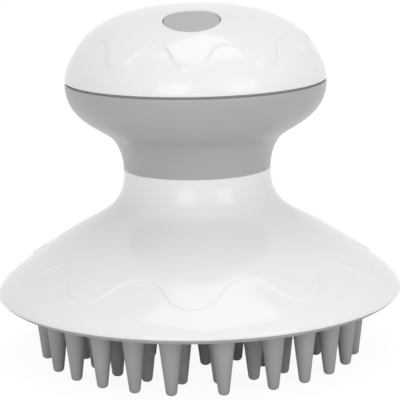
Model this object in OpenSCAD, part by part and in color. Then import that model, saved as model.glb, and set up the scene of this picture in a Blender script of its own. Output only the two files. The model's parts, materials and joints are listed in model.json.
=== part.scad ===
// Hand-held electric scalp massager: a palm cap on a waisted handle, over a flared skirt
// whose underside carries soft prongs. Z is up and the front is -Y.
// The origin is under the middle of the object, on the surface that the prong tips stand on.

/* [Overall] */
// Height from the prong tips to the top of the cap
total_h = 90; // [88:0.5:92]
// Diameter of the skirt at its rim
rim_d = 104; // [103:0.5:106]
// Diameter of the cap where it meets the handle
cap_d = 66.4; // [66:0.2:68]
// Diameter of the neck at the seam between handle and skirt
neck_d = 37.6; // [37.6:0.2:38.6]
// Wall of the moulded shells
wall = 2; // [1.8:0.1:2.2]

/* [Levels above the prong tips] */
// Lower edge of the skirt's rim
rim_z = 17.2; // [16.6:0.2:17.6]
// Seam between the skirt and the handle
neck_z = 48.7; // [48.2:0.1:49.2]
// Crease between the neck and the dish of the handle
crease_z = 56.5; // [56:0.1:57]
// Lower edge of the cap
cap_z = 71.6; // [71.2:0.1:72]

/* [Raised wave] */
// Number of tongues round the cap, and round the skirt
waves = 10; // [8:1:12]
// Height of the raised surface over the plain one
relief = 0.45; // [0.3:0.05:0.6]

/* [Button] */
// Radius of the push button
button_r = 7; // [6.4:0.1:7.2]
// Distance of the button's centre in front of the axis
button_y = 16.2; // [15.8:0.1:16.6]
// Forward lean of the button
button_tilt = 16; // [15:0.5:18]
// How far the button travels
button_travel = 0.4; // [0.2:0.1:0.5]

/* [Prongs] */
// Radius of a prong at its root
prong_root_r = 3.2; // [2.8:0.1:3.3]
// Radius of the rounding at a prong's tip
prong_tip_r = 1; // [0.8:0.1:1.1]
// Radius of the small flat that a prong stands on
prong_flat_r = 0.4; // [0.3:0.1:0.5]
// Turn of the whole prong pattern from the front
pad_turn = 10; // [0:1:45]

/* [Charging port] */
// Width of the recess round the socket
port_w = 13; // [12:0.5:14]
// Height of the recess round the socket
port_h = 6; // [5.6:0.2:6.2]

/* [Hidden] */

$fn = 96;
eps = 0.01;

// Colours
white = [0.93, 0.93, 0.93];
grey = [0.66, 0.66, 0.66];
button_grey = [0.74, 0.74, 0.74];
seam_grey = [0.58, 0.58, 0.58];
prong_grey = [0.55, 0.56, 0.57];
seal_black = [0.12, 0.12, 0.12];
board_green = [0.1, 0.36, 0.22];
steel = [0.72, 0.72, 0.74];
brass = [0.8, 0.65, 0.35];
lead_red = [0.75, 0.1, 0.08];

// Main radii
rim_r = rim_d / 2;
cap_r = cap_d / 2;
neck_r = neck_d / 2;

// Fit gaps
slip = 0.1;                // between pieces that slide or turn in each other
seat = 0.2;                // between fixed pieces that plug together

// Outline of the skirt, as two curves that meet at the knee with one tangent
knee = [rim_r - 16.2, rim_z + 13];
knee_dir = [-0.84, 0.54];
skirt_low = [[rim_r, rim_z], [rim_r - 1.2, rim_z + 2.9], knee - 14.5 * knee_dir, knee];
skirt_high = [knee, knee + 12.6 * knee_dir, [neck_r - 0.4, rim_z + 21], [neck_r, neck_z]];

// Outline of the handle: neck, then dish
crease_r = neck_r + 2.5;
gasket_h = 0.7;
dish_top = cap_z - gasket_h;
neck_curve = [[neck_r, neck_z], [neck_r, neck_z + 1.1], [neck_r + 0.2, crease_z - 3.1],
    [crease_r, crease_z]];
dish_curve = [[crease_r, crease_z], [crease_r + 3.1, crease_z + 3.6], [cap_r + 0.1, crease_z + 5],
    [cap_r, dish_top]];

// The cap is a flattened dome: |r/R|^a + |z/H|^b = 1
dome_a = 2.7;
dome_b = 1.7;
dome_h = total_h - cap_z - relief;
cap_wall = wall + 0.2;

// Waves of the raised surface, as radii in plan
cap_wave_mid = cap_r - 4.25;
cap_wave_amp = 2.15;
skirt_wave_mid = rim_r - 9.2;
skirt_wave_amp = 3.6;
wave_steep = 1.5;          // how steep the sides of a tongue are, 1 being a plain sine

// Seam between cap and handle
tongue_r = cap_r - wall - 0.25;
tongue_wall = 1.35;
tongue_drop = 2.6;
hook_depth = 0.5;
hook_turns = [0, 120, 180, 240, 300];

// Button stack, measured down from the cap's surface along the button's axis
button_hole_r = button_r + 0.25;
button_sink = 0.4;         // the button's face lies this far under the cap's surface
collar_depth = 4.4;
collar_wall = 1.55;
lip_gap = 0.1;             // between the button's lip and the collar that stops it
lip_r = button_r + 1.4;
lip_h = 0.6;
stem_r = 1.6;
stem_end = collar_depth + 0.9;
ring_depth = 2.9;          // middle of the button's sealing ring
ring_r = 0.5;
plunger_r = 1.75;
plunger_top = stem_end + 0.05;
switch_top = plunger_top + 1.3;
switch_side = 6.2;
switch_h = 3.5;
switch_base = switch_top + switch_h;
board_t = 1.2;
switch_post_x = 11.3;
switch_post_r = 2.4;

// Neck joint, motor and its cup
spigot_r = neck_r - wall - 0.15;
spigot_z = neck_z - 5.9;
flange_h = 2;
flange_top = spigot_z - 0.1;
flange_z = flange_top - flange_h;
bore_z = neck_z + 2;       // top of the thick part of the neck
neck_screw_ring = spigot_r - 2.25;
neck_screw_turns = [30, 150, 270];
motor_r = 9.8;
motor_l = 25;
bush_r = motor_r + 0.9;
cup_wall = 1.25;
cup_r = bush_r + 0.05 + cup_wall;
cup_floor = 1.5;
cup_z = flange_z - 8.7;
motor_z = cup_z + cup_floor;
shaft_r = 1;
weight_r = 10.5;
weight_h = 6.5;
weight_z = cup_z - weight_h - 1;

// Underside: pad, base plate and their fasteners
pad_z = rim_z - 0.75;
pad_t = 1.75;
pad_flange_r = rim_r - 0.8;
seat_r = rim_r - 5.6;
plate_r = seat_r - seat;
plate_z = pad_z + pad_t;
plate_t = 2.4;
plate_top = plate_z + plate_t;
rib_t = 1.4;
rib_h = 2.6;
base_screw_ring = rim_r - 14.5;
base_screw_turns = [45, 135, 225, 315];
stud_ring = rim_r - 12;
stud_count = 8;

// Prong rings: radius, and the turns of the prongs on it
group_step = 13.4;
outer_turns = [for (q = [0:3]) each concat([90 * q], [for (k = [-2:2]) 90 * q + 45 + group_step * k])];
prong_rings = [
    [39.9, outer_turns],
    [30.4, [for (k = [0:20]) 360 / 21 * k + 0.4]],
    [22.5, [for (k = [0:5]) 60 * k + 36]],
    [14, [for (k = [0:9]) 36 * k - 3]]
];

// Tray in the dish, and what it carries
tray_z = crease_z + 5.5;
tray_t = 1.6;
tray_top = tray_z + tray_t;
tray_r = 25.5;
tray_boss_ring = 19.5;
tray_turns = [60, 120, 210, 330];
battery_r = 7;
battery_l = 48;
battery_pos = [0, 8, tray_top + battery_r + 1.9];
board_w = 34;
board_d = 16;
board_y = -11;
board_z = tray_top + 2.4;
board_posts = [[-13, -16], [13, -16], [-13, -5.5], [13, -5.5]];

// Charging port, on the back of the dish
port_z = dish_top - 4.3;
port_floor = cap_r - 4;
port_boss = port_floor - 1.8;
socket_w = 9;
socket_h = 3.2;
socket_l = 7.6;
socket_wall = 0.35;
charge_z = port_z - socket_h / 2 - board_t;
charge_w = 14;
charge_y = 14;
charge_end = 26.6;
bead_r = 0.8;
bead_w = 6;
bead_pos = [0, port_floor + 1.1, port_z - port_h / 2 + 0.3];

// ---------------------------------------------------------------- outlines

// A point of a cubic curve through four control points, and its outward normal
function curve_at(c, t) =
    pow(1 - t, 3) * c[0] + 3 * pow(1 - t, 2) * t * c[1] + 3 * (1 - t) * t * t * c[2] + pow(t, 3) * c[3];
function curve_slope(c, t) =
    pow(1 - t, 2) * (c[1] - c[0]) + 2 * (1 - t) * t * (c[2] - c[1]) + t * t * (c[3] - c[2]);
function normal_at(c, t) = let (d = curve_slope(c, t)) [d[1], -d[0]] / norm(d);

// The curve moved out by `out`, in n steps from t = a to t = b
function curve_path(c, n, out = 0, a = 0, b = 1) =
    [for (i = [0:n]) let (t = a + (b - a) * i / n) curve_at(c, t) + out * normal_at(c, t)];

// Quarter outline of the dome, from its edge to its top
function dome_path(r, h, n = 15, a = 0) =
    [for (i = [0:n]) let (t = a + (90 - a) * i / n) [r * pow(cos(t), 2 / dome_a),
        cap_z + h * pow(sin(t), 2 / dome_b)]];

function reversed(p) = [for (i = [len(p) - 1:-1:0]) p[i]];

// Radius in plan of a wavy edge: rounded tongues with flattened ends, one at the front
function wave_r(mid, amp, a) =
    let (c = cos(waves * a)) mid + amp * wave_steep * c / sqrt(1 + (pow(wave_steep, 2) - 1) * c * c);

module wave_prism(mid, amp, low, high) {
    steps = 14 * waves;
    translate([0, 0, low])
        linear_extrude(high - low)
            polygon([for (i = [0:steps - 1]) let (a = 360 * i / steps)
                wave_r(mid, amp, a) * [sin(a), -cos(a)]]);
}

// ---------------------------------------------------------------- shared shapes

module ring(outer, inner, low, high) {
    translate([0, 0, low])
        difference() {
            cylinder(r = outer, h = high - low);
            translate([0, 0, -1]) cylinder(r = inner, h = high - low + 2);
        }
}

module seal_ring(middle_r, thick_r, level) {
    translate([0, 0, level])
        rotate_extrude()
            translate([middle_r, 0])
                circle(r = thick_r, $fn = 32);
}

// Children copied at each turn, on a circle of radius r
module around(turns, r) {
    for (a = turns)
        rotate([0, 0, a])
            translate([r, 0, 0])
                children();
}

// A pan-head screw that points up, its head's lower face at z = 0
module screw(head_r, head_h, shank_r, shank_l) {
    cylinder(r = head_r, h = head_h);
    translate([0, 0, head_h - eps]) cylinder(r = shank_r, h = shank_l + eps);
}

// A slot-shaped plate across the XZ plane, from y = 0 towards +Y
module slot_block(w, h, depth) {
    rotate([90, 0, 180])
        linear_extrude(depth)
            slot_outline(w, h);
}

module slot_outline(w, h) {
    square([w - h, h], center = true);
    for (s = [-1, 1])
        translate([s * (w - h) / 2, 0])
            circle(d = h, $fn = 48);
}

// A round lead from p to q
module lead(p, q, r = 0.6) {
    d = q - p;
    translate(p)
        rotate([0, acos(d[2] / norm(d)), atan2(d[1], d[0])])
            cylinder(r = r, h = norm(d), $fn = 24);
}

module lead_path(points, r = 0.6) {
    for (i = [0:len(points) - 2])
        lead(points[i], points[i + 1], r);
    for (i = [1:len(points) - 2])
        translate(points[i]) sphere(r = 1.15 * r, $fn = 24);
}

// Children in the button's own frame: z = 0 on the cap, along the button's axis
module on_button() {
    rise = pow(1 - pow(button_y / cap_r, dome_a), 1 / dome_b);
    translate([0, -button_y, cap_z + (dome_h + relief) * rise])
        rotate([button_tilt, 0, 0])
            children();
}

// ---------------------------------------------------------------- cap

module dome_solid(r, h) {
    rotate_extrude()
        polygon(concat([[0, cap_z]], dome_path(r, h)));
}

module cap_shell() {
    outer = dome_path(cap_r, dome_h);
    inner = dome_path(cap_r - cap_wall, dome_h - cap_wall);
    rotate_extrude()
        polygon(concat(outer, reversed(inner)));
}

// The surface inside the wavy edge stands proud of the rest
module cap_relief() {
    intersection() {
        rotate_extrude()
            polygon(concat(dome_path(cap_r + relief, dome_h + relief, 15, 8),
                reversed(dome_path(cap_r - 1, dome_h - 1, 15, 8))));
        wave_prism(cap_wave_mid, cap_wave_amp, cap_z, total_h + 1);
    }
}

module snap_hooks() {
    for (a = hook_turns)
        rotate([0, 0, a - 98])
            rotate_extrude(angle = 16)
                polygon([[tongue_r - 0.6, cap_z - tongue_drop + 0.2], [tongue_r, cap_z - tongue_drop + 0.2],
                    [tongue_r + hook_depth, cap_z - tongue_drop + 1], [tongue_r, cap_z - tongue_drop + 1.2],
                    [tongue_r - 0.6, cap_z - tongue_drop + 1.2]]);
}

module cap_inside() {
    difference() {
        union() {
            ring(tongue_r, tongue_r - tongue_wall, cap_z - tongue_drop, cap_z + 3);
            snap_hooks();
            on_button() {
                translate([0, 0, -collar_depth])
                    cylinder(r = button_hole_r + collar_wall, h = collar_depth + 3);
                for (s = [-1, 1])
                    translate([s * switch_post_x, 0, -switch_base])
                        cylinder(r = switch_post_r, h = switch_base);
            }
        }
        // room for the charging port at the back
        translate([-port_w / 2 - 2.5, 20, cap_z - tongue_drop - 1])
            cube([port_w + 5, 20, tongue_drop + 1 - eps]);
    }
}

module cap() {
    color(white)
    difference() {
        union() {
            cap_shell();
            cap_relief();
            intersection() {
                cap_inside();
                union() {
                    dome_solid(cap_r - 1, dome_h - 1);
                    translate([0, 0, cap_z - 10]) cylinder(r = cap_r - 1, h = 10 + eps);
                }
            }
        }
        on_button() {
            translate([0, 0, -collar_depth - 1]) cylinder(r = button_hole_r, h = collar_depth + 5);
            for (s = [-1, 1])
                translate([s * switch_post_x, 0, -switch_base - 1]) cylinder(r = 1, h = 7.4);
        }
    }
}

// ---------------------------------------------------------------- button and its switch

module button() {
    color(button_grey)
    difference() {
        union() {
            intersection() {
                translate([0, 0, -button_sink]) dome_solid(cap_r + relief, dome_h + relief);
                on_button()
                    translate([0, 0, -collar_depth - lip_gap - lip_h])
                        cylinder(r = button_r, h = collar_depth + lip_h + 3);
            }
            on_button()
                translate([0, 0, -collar_depth - lip_gap - lip_h])
                    cylinder(r = lip_r, h = lip_h);
        }
        on_button() {
            // hollow underside round the stem
            translate([0, 0, -collar_depth - lip_gap - lip_h - 1])
                difference() {
                    cylinder(r = button_r - 1.7, h = collar_depth);
                    translate([0, 0, -1]) cylinder(r = stem_r, h = collar_depth + 2);
                }
            // groove of the sealing ring
            ring(button_r + 1, button_r - 0.9, -ring_depth - ring_r - 0.05, -ring_depth + ring_r + 0.05);
        }
    }
    color(button_grey)
    on_button()
        translate([0, 0, -stem_end]) cylinder(r = stem_r, h = 1.5);
}

module button_seal() {
    color(seal_black)
    on_button()
        seal_ring(button_r - 0.37, ring_r, -ring_depth);
}

module switch_plunger() {
    color(seal_black)
    on_button()
        translate([0, 0, -switch_top - 1.2])
            cylinder(r = plunger_r, h = switch_top + 1.2 - plunger_top);
}

module tact_switch() {
    color(steel)
    on_button()
        difference() {
            translate([-switch_side / 2, -switch_side / 2, -switch_base])
                cube([switch_side, switch_side, switch_h]);
            translate([0, 0, -switch_top - 1.2 - button_travel - 0.2])
                cylinder(r = plunger_r + slip, h = 5);
        }
}

module switch_board() {
    color(board_green)
    on_button()
        difference() {
            translate([-14, -4.5, -switch_base - board_t]) cube([28, 9, board_t]);
            for (s = [-1, 1])
                translate([s * switch_post_x, 0, -switch_base - board_t - 1]) cylinder(r = 1.15, h = 4);
        }
}

module switch_screws() {
    color(steel)
    on_button()
        for (s = [-1, 1])
            translate([s * switch_post_x, 0, -switch_base - board_t - 1.3])
                screw(1.9, 1.3, 0.95, 6.5);
}

module switch_leads() {
    y = -button_y + (switch_base + board_t) * sin(button_tilt);
    color(lead_red)
    difference() {
        for (s = [-1, 1])
            lead([s * 3, y, board_z + board_t], [s * 3, y, total_h - 10]);
        on_button()
            translate([-13, -8, -switch_base - board_t]) cube([26, 16, 20]);
    }
}

// ---------------------------------------------------------------- handle

module cap_gasket() {
    color(seam_grey) ring(cap_r - 0.6, cap_r - wall - 0.1, dish_top, cap_z);
}

// Outer outline of the handle moved in by `inset`, closed to the axis
module handle_solid(inset = 0) {
    path = concat(curve_path(neck_curve, 5, -inset), curve_path(dish_curve, 12, -inset));
    top = path[len(path) - 1];
    rotate_extrude()
        polygon(concat([[0, path[0][1]]], path, [[0, top[1]]]));
}

// A path that ends in a soft edge of this size in place of its last, square corner
function soft_end(path, size) = let (n = len(path) - 1, corner = path[n]) concat(
    [for (i = [0:n - 1]) path[i]],
    [for (a = [0:30:90]) corner - size * [1 - cos(a), 1 - sin(a)]]);

module handle_walls() {
    outer = concat(curve_path(neck_curve, 5), soft_end(curve_path(dish_curve, 12, 0, 1 / 12), 0.45));
    inner = concat(curve_path(neck_curve, 3, -wall, 0.55), curve_path(dish_curve, 12, -wall, 1 / 12));
    bore_r = neck_r - wall - 0.05;
    rotate_extrude()
        polygon(concat([[spigot_r - 2, spigot_z], [spigot_r, spigot_z], [spigot_r, neck_z]], outer,
            reversed(inner), [[bore_r, inner[0][1] - 1], [bore_r, bore_z], [spigot_r - 2, bore_z]]));
}

module port_boss_block() {
    translate([0, port_boss, port_z]) slot_block(port_w + 2.4, port_h + 2.4, 8);
}

module handle_shell() {
    color(grey)
    difference() {
        union() {
            handle_walls();
            intersection() {
                union() {
                    around(tray_turns, tray_boss_ring)
                        translate([0, 0, crease_z - 3]) cylinder(r = 3, h = tray_z - crease_z + 2.9);
                    port_boss_block();
                }
                handle_solid(0.8);
            }
            around(neck_screw_turns, neck_screw_ring)
                translate([0, 0, spigot_z + 0.3]) cylinder(r = 2.1, h = bore_z - spigot_z - 0.6);
        }
        around(tray_turns, tray_boss_ring)
            translate([0, 0, crease_z + 0.6]) cylinder(r = 1.05, h = 10);
        around(neck_screw_turns, neck_screw_ring)
            translate([0, 0, spigot_z - 1]) cylinder(r = 1.05, h = 7.4);
        // groove of the neck's sealing ring
        ring(spigot_r + 1, spigot_r - 0.9, neck_z - 3.2, neck_z - 2);
        // catch groove for the cap's snap hooks
        ring(tongue_r + hook_depth + 0.2, tongue_r - 1, cap_z - tongue_drop + 0.1, cap_z - tongue_drop + 1.4);
        // recess, socket window and the plug's hinge groove
        translate([0, port_floor, port_z]) slot_block(port_w, port_h, 8);
        translate([-socket_w / 2 - slip, port_boss - 3, port_z - socket_h / 2 - slip])
            cube([socket_w + 2 * slip, 8, socket_h + 2 * slip]);
        translate(bead_pos - [bead_w / 2 + 0.15, 0, 0])
            rotate([0, 90, 0]) cylinder(r = bead_r + slip, h = bead_w + 0.3, $fn = 48);
    }
}

// ---------------------------------------------------------------- charging port

// A soft plug that fills the recess; a round bead along its lower edge is its hinge
module port_plug() {
    color(grey)
    union() {
        difference() {
            intersection() {
                hull() {
                    translate([0, port_floor + 0.3, port_z + 0.1])
                        slot_block(port_w - 1.6, port_h - 1.5, 0.1);
                    translate([0, cap_r, port_z]) slot_block(port_w - 0.3, port_h - 0.5, 0.1);
                }
                handle_solid(-0.15);
            }
            translate(bead_pos - [port_w, 0, 0])
                rotate([0, 90, 0]) cylinder(r = bead_r + 0.15, h = 2 * port_w, $fn = 48);
        }
        translate(bead_pos - [bead_w / 2, 0, 0])
            rotate([0, 90, 0]) cylinder(r = bead_r, h = bead_w, $fn = 48);
        translate(bead_pos + [-bead_w / 2, -0.3, 0]) cube([bead_w, 0.8, 1.6]);
    }
}

module charging_socket() {
    front = port_floor - 0.1;
    color(steel)
    translate([0, front - socket_l, port_z]) {
        difference() {
            slot_block(socket_w, socket_h, socket_l);
            translate([0, 1, 0])
                slot_block(socket_w - 2 * socket_wall, socket_h - 2 * socket_wall, socket_l);
        }
        translate([-3.3, 0.5, -0.35]) cube([6.6, socket_l - 1.5, 0.7]);
    }
}

module charge_board() {
    color(board_green)
    translate([-charge_w / 2, charge_y, charge_z])
        cube([charge_w, charge_end - charge_y, board_t]);
}

module charge_leads() {
    start = [6, board_y + board_d / 2 - 2, board_z];
    level = charge_z + board_t / 2;
    color(lead_red)
    for (s = [-1, 1])
        lead_path([[s * start[0], start[1], start[2]], [s * start[0], start[1], level],
            [s * start[0], charge_y, level]], 0.45);
}

// ---------------------------------------------------------------- battery and boards

module battery() {
    color("steelblue")
    translate(battery_pos - [battery_l / 2, 0, 0])
        rotate([0, 90, 0]) {
            cylinder(r = battery_r, h = battery_l);
            translate([0, 0, battery_l - eps]) cylinder(r = 2.5, h = 1);
        }
}

// A strip along each end of the cell, a lead from it, and the lead's connector on the board
module battery_leads() {
    front = battery_pos[1] - battery_r - 1.6;
    color(lead_red)
    for (s = [-1, 1]) {
        end = battery_l / 2 + (s > 0 ? 1 : 0);
        translate([s > 0 ? end : -end - 0.3, front - 0.8, battery_pos[2] - 1.5])
            cube([0.3, battery_r + 3, 3]);
        lead([s * (end + 0.15), front, battery_pos[2]], [s * 15.4, board_y + 1, board_z + board_t + 0.8]);
        translate([s * 15.4 - 1.3, board_y - 0.3, board_z + board_t]) cube([2.6, 2.6, 1.6]);
    }
}

module battery_saddle() {
    cube([3, 2 * battery_r + 3.2, battery_pos[2] + 3.5 - tray_top + eps]);
}

module battery_tray() {
    color([0.25, 0.25, 0.26])
    difference() {
        union() {
            translate([0, 0, tray_z]) cylinder(r = tray_r, h = tray_t);
            for (x = [-15.5, 12.5])
                translate([x, battery_pos[1] - battery_r - 1.6, tray_top - eps]) battery_saddle();
            for (p = board_posts)
                translate([p[0], p[1], tray_top - eps]) cylinder(r = 1.8, h = board_z - tray_top + eps);
            translate([-charge_w / 2, charge_y + 1, tray_top - eps])
                cube([charge_w, 9, charge_z - tray_top + eps]);
        }
        // cell and the mouth that it snaps in through
        translate(battery_pos - [40, 0, 0])
            rotate([0, 90, 0]) cylinder(r = battery_r + slip, h = 80);
        translate([-40, battery_pos[1] - 5.5, battery_pos[2]]) cube([80, 11, 20]);
        // passage for the motor's leads
        translate([0, 0, tray_z - 1]) cylinder(r = 8, h = tray_t + 2);
        around(tray_turns, tray_boss_ring)
            translate([0, 0, tray_z - 1]) cylinder(r = 1.3, h = 20);
        for (p = board_posts)
            translate([p[0], p[1], tray_top - 1]) cylinder(r = 0.85, h = 10);
    }
}

module tray_screws() {
    color(steel)
    around(tray_turns, tray_boss_ring)
        translate([0, 0, tray_top + 1.4]) mirror([0, 0, 1]) screw(2, 1.4, 1, 5.4);
}

module main_board() {
    color(board_green)
    difference() {
        union() {
            translate([-board_w / 2, board_y - board_d / 2, board_z]) cube([board_w, board_d, board_t]);
            translate([-10, board_y - 4, board_z + board_t - eps]) cube([5, 6, 1.4]);
            translate([6, board_y - 5, board_z + board_t - eps]) cube([4, 4, 2]);
        }
        for (p = board_posts)
            translate([p[0], p[1], board_z - 1]) cylinder(r = 1.1, h = 4);
        // motor leads come up through these
        for (s = [-1, 1])
            translate([s * 4, board_y + board_d / 2 - 1.7, board_z - 1]) cylinder(r = 1, h = 4);
    }
}

module board_screws() {
    color(steel)
    for (p = board_posts)
        translate([p[0], p[1], board_z + board_t + 1.2]) mirror([0, 0, 1]) screw(1.7, 1.2, 0.8, 3.4);
}

// ---------------------------------------------------------------- motor

module motor() {
    color(steel) {
        difference() {
            union() {
                translate([0, 0, motor_z]) cylinder(r = motor_r, h = motor_l);
                translate([0, 0, motor_z - 1.2]) cylinder(r = 3, h = 1.2 + eps);
                translate([0, 0, motor_z + motor_l - eps]) cylinder(r = 3, h = 1.3);
                for (s = [-1, 1])
                    translate([s * 4 - 0.9, -1.9, motor_z + motor_l - eps]) cube([1.8, 0.5, 2.2]);
            }
            translate([0, 0, motor_z - 2]) cylinder(r = shaft_r + 0.05, h = 22);
        }
    }
}

module motor_leads() {
    color(lead_red)
    for (s = [-1, 1])
        lead([s * 4, -2.7, motor_z + motor_l + 0.7],
            [s * 4, board_y + board_d / 2 - 2, board_z + board_t + 0.5]);
}

module motor_bush() {
    color(seal_black) ring(bush_r, motor_r + 0.02, motor_z, motor_z + 18);
}

module motor_cup() {
    color(white)
    difference() {
        union() {
            translate([0, 0, cup_z]) cylinder(r = cup_r, h = flange_z - cup_z);
            translate([0, 0, flange_z - 2]) cylinder(r = neck_r - wall, h = 2);
        }
        translate([0, 0, motor_z]) cylinder(r = bush_r + 0.05, h = 20);
        translate([0, 0, cup_z - 1]) cylinder(r = 5.2, h = 5);
        around(neck_screw_turns, neck_screw_ring)
            translate([0, 0, cup_z]) cylinder(r = 1.35, h = 20);
    }
}

module motor_shaft() {
    color(steel)
    translate([0, 0, weight_z - 0.6]) cylinder(r = shaft_r, h = motor_z + 19 - weight_z);
}

// Half-round weight on its hub: the heavy side makes the head shake as it turns
module eccentric_weight() {
    color(brass)
    translate([0, 0, weight_z])
        difference() {
            union() {
                cylinder(r = 2.8, h = weight_h);
                intersection() {
                    cylinder(r = weight_r, h = weight_h);
                    translate([-weight_r, 0, 0]) cube([2 * weight_r, weight_r, weight_h]);
                }
            }
            translate([0, 0, -1]) cylinder(r = shaft_r + 0.01, h = weight_h + 2);
        }
}

// ---------------------------------------------------------------- neck joint

module neck_seal() {
    color(seal_black) seal_ring(spigot_r - 0.35, 0.45, neck_z - 2.6);
}

module neck_screws() {
    color(steel)
    around(neck_screw_turns, neck_screw_ring)
        translate([0, 0, flange_z - 2 - 1.7]) screw(2, 1.7, 1, 10);
}

// ---------------------------------------------------------------- skirt

module skirt_walls() {
    outer = concat(curve_path(skirt_low, 10), curve_path(skirt_high, 12, 0, 1 / 12));
    inner = concat(curve_path(skirt_low, 7, -wall, 0.4), curve_path(skirt_high, 10, -wall, 1 / 12, 0.92));
    bore_r = neck_r - wall;
    rotate_extrude()
        polygon(concat([[seat_r, rim_z]], outer, [[bore_r, neck_z]],
            reversed(inner), [[seat_r, plate_top]]));
}

// Filled outline of the skirt moved in by `inset`, from the plate up
module skirt_solid(inset) {
    path = concat(curve_path(skirt_low, 8, -inset, 0.2), curve_path(skirt_high, 10, -inset, 0.1));
    top = path[len(path) - 1];
    rotate_extrude()
        polygon(concat([[0, path[0][1]]], path, [[0, top[1]]]));
}

// The surface above the wavy edge stands proud, and runs out under the neck
module skirt_relief() {
    low = [for (i = [0:8]) let (t = 0.15 + 0.85 * i / 8)
        curve_at(skirt_low, t) + relief * normal_at(skirt_low, t)];
    high = [for (i = [1:6]) let (t = 0.6 * i / 6)
        curve_at(skirt_high, t) + (relief - 1.25 * relief * i / 6) * normal_at(skirt_high, t)];
    under = concat(curve_path(skirt_low, 8, -1, 0.15), curve_path(skirt_high, 5, -1, 0.12, 0.6));
    intersection() {
        rotate_extrude()
            polygon(concat(low, high, reversed(under)));
        wave_prism(skirt_wave_mid, skirt_wave_amp, rim_z, neck_z);
    }
}

module skirt() {
    color(white)
    difference() {
        union() {
            skirt_walls();
            skirt_relief();
            intersection() {
                union() {
                    around(base_screw_turns, base_screw_ring)
                        translate([0, 0, plate_top]) cylinder(r = 3.5, h = 12);
                    // neck socket and the flange at its foot, which the handle is screwed to
                    translate([0, 0, flange_z]) cylinder(r = neck_r + 2, h = neck_z - flange_z - 1);
                }
                skirt_solid(1);
            }
        }
        translate([0, 0, flange_top]) cylinder(r = neck_r - wall, h = 20);
        translate([0, 0, flange_z - 1]) cylinder(r = bush_r + 0.5, h = flange_h + 2);
        around(neck_screw_turns, neck_screw_ring)
            translate([0, 0, flange_z - 1]) cylinder(r = 1.35, h = flange_h + 2);
        around(base_screw_turns, base_screw_ring)
            translate([0, 0, plate_top - 1]) cylinder(r = 1.3, h = 7);
    }
}

// ---------------------------------------------------------------- base

module base_plate() {
    color(white)
    difference() {
        union() {
            translate([0, 0, plate_z]) cylinder(r = plate_r, h = plate_t - 0.4);
            translate([0, 0, plate_top - 0.4]) cylinder(r1 = plate_r, r2 = plate_r - 0.5, h = 0.4);
            // stiffening rings and spokes
            ring(14.4, 13, plate_top - eps, plate_top + rib_h);
            ring(33.4, 32, plate_top - eps, plate_top + rib_h);
            for (a = [0:45:315])
                rotate([0, 0, a])
                    translate([13.5, -rib_t / 2, plate_top - eps]) cube([19, rib_t, rib_h]);
        }
        // groove of the sealing ring
        ring(plate_r + 1, plate_r - 1.2, plate_z + 0.55, plate_z + 1.85);
        around(base_screw_turns, base_screw_ring) {
            translate([0, 0, plate_z - 1]) cylinder(r = 1.6, h = plate_t + 2);
            translate([0, 0, plate_z - 1]) cylinder(r = 2.8, h = 2.5);
        }
        around([for (k = [0:stud_count - 1]) 22.5 + 45 * k], stud_ring)
            translate([0, 0, plate_z - 1]) cylinder(r = 2.1, h = plate_t + 2);
    }
}

module base_seal() {
    color(seal_black) seal_ring(plate_r - 0.55, 0.62, plate_z + 1.2);
}

module base_screws() {
    color(steel)
    around(base_screw_turns, base_screw_ring)
        translate([0, 0, plate_z + 0.05]) screw(2.6, 1.4, 1.25, 6);
}

// One prong, standing on its tip: small flat, rounded end, cone, and a fillet into the pad
module prong() {
    lean = atan((prong_root_r - prong_flat_r - prong_tip_r) / pad_z);
    tip = [for (i = [0:5]) let (a = (90 - lean) * i / 5)
        [prong_flat_r + prong_tip_r * sin(a), prong_tip_r * (1 - cos(a))]];
    fillet = 0.6;
    root = [for (i = [0:3]) let (a = 30 * i)
        [prong_root_r + fillet * (1 - cos(a)) - 0.1, pad_z - fillet + fillet * sin(a)]];
    rotate_extrude()
        polygon(concat([[0, 0]], tip, root, [[0, pad_z + 0.5]]));
}

module bristle_pad() {
    color(prong_grey)
    union() {
        translate([0, 0, pad_z]) cylinder(r = pad_flange_r, h = rim_z - pad_z);
        translate([0, 0, pad_z]) cylinder(r = plate_r, h = pad_t);
        for (p = prong_rings)
            around([for (a = p[1]) a + pad_turn - 90], p[0])
                prong();
        // studs that hold the pad in the base plate
        around([for (k = [0:stud_count - 1]) 22.5 + 45 * k], stud_ring)
            translate([0, 0, plate_z - eps]) {
                cylinder(r = 2, h = plate_t + 0.1);
                translate([0, 0, plate_t + 0.06]) cylinder(r1 = 2.8, r2 = 1.8, h = 1.5);
            }
    }
}

// ---------------------------------------------------------------- pieces drawn

cap();
button();
button_seal();
switch_plunger();
tact_switch();
switch_board();
switch_screws();
switch_leads();
cap_gasket();
handle_shell();
port_plug();
charging_socket();
charge_board();
charge_leads();
battery();
battery_leads();
battery_tray();
tray_screws();
main_board();
board_screws();
motor();
motor_leads();
motor_bush();
motor_cup();
motor_shaft();
eccentric_weight();
neck_seal();
neck_screws();
skirt();
base_plate();
base_seal();
base_screws();
bristle_pad();
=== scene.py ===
"""Looks of a hand-held scalp massager: its shells, prongs, finishes, studio and camera."""

import json
import math

import bmesh
import bpy
from mathutils import Matrix, Vector


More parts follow.
